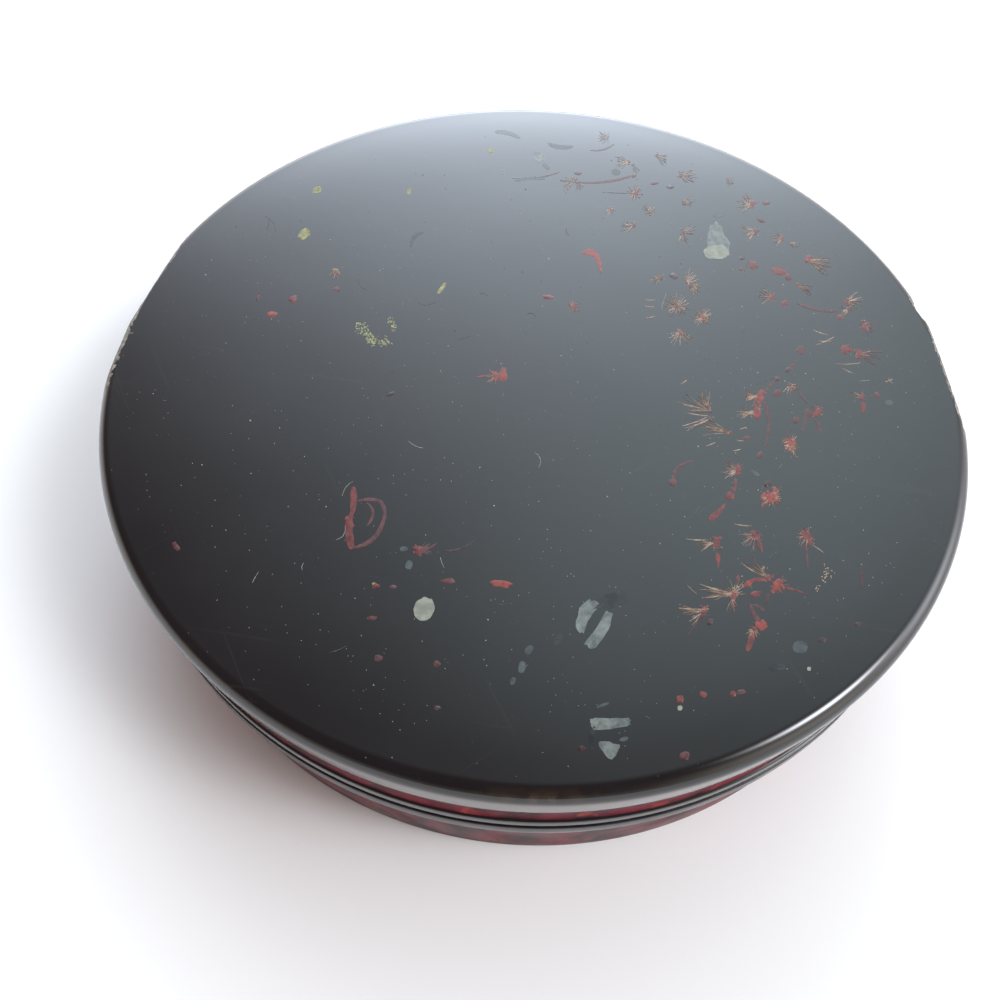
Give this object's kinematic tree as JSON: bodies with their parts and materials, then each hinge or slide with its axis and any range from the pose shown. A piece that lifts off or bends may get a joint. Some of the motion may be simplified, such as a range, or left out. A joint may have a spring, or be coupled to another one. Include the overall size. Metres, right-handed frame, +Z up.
{
  "type": "round lidded lacquer box",
  "caption": "Round lidded box in black lacquer on turned wood, with a lift-off lid, a recessed mottled red band and a tapering mottled red wall.",
  "frame": {"origin": "centre of the underside, on the surface that the box stands on", "axes": "+Z up through the middle of the lid, the viewer of the picture stands on the -Y side, +X to the viewer's right"},
  "size_m": [0.2392, 0.2398, 0.0638],
  "materials": {
    "black_lacquer": "high-gloss black lacquer over turned wood, with dust and fine scratches",
    "mottled_red_lacquer": "gloss lacquer over turned wood, dark red mottled with black and flecks of orange red",
    "red_inlay": "raised dull red lacquer of the sprigs and tufts on the lid",
    "gold_inlay": "worn gold hairlines and flakes in the lacquer",
    "shell_inlay": "pale shell and eggshell pieces under clear lacquer",
    "bare_ground": "dull olive-brown ground and wood showing at the chips",
    "lint": "fine pale fibres and specks of dust"
  },
  "bodies": {
    "root": {"lid": "black_lacquer", "body": "mottled_red_lacquer"}
  },
  "joints": []
}
